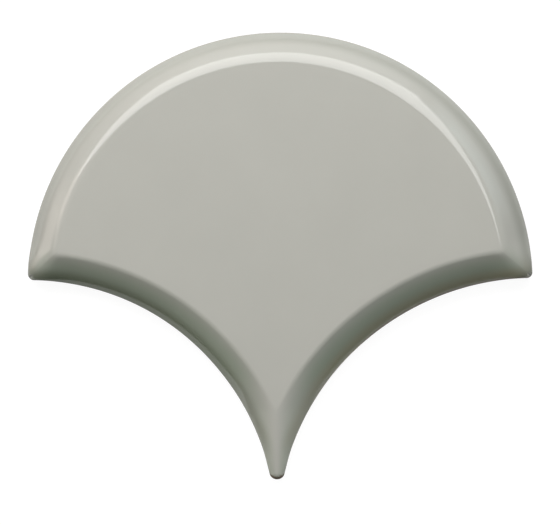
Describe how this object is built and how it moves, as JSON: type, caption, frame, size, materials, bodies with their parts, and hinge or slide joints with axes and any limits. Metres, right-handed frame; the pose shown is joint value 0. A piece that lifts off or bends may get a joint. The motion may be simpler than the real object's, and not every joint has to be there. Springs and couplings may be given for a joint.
{
  "type": "fish scale tile",
  "caption": "Glazed ceramic fish scale wall tile with a half-round crown, two hollows, a pointed tail and a bevelled face.",
  "frame": {"origin": "middle of the tile's box, on the plane of its back", "axes": "+X from hollow to hollow, +Y from the tail to the top of the crown, +Z out of the glazed face"},
  "size_m": [0.1198, 0.1062, 0.0095],
  "materials": {
    "glazed_ceramic": "gloss"
  },
  "bodies": {
    "root": {"scale_tile": "glazed_ceramic"}
  },
  "joints": []
}
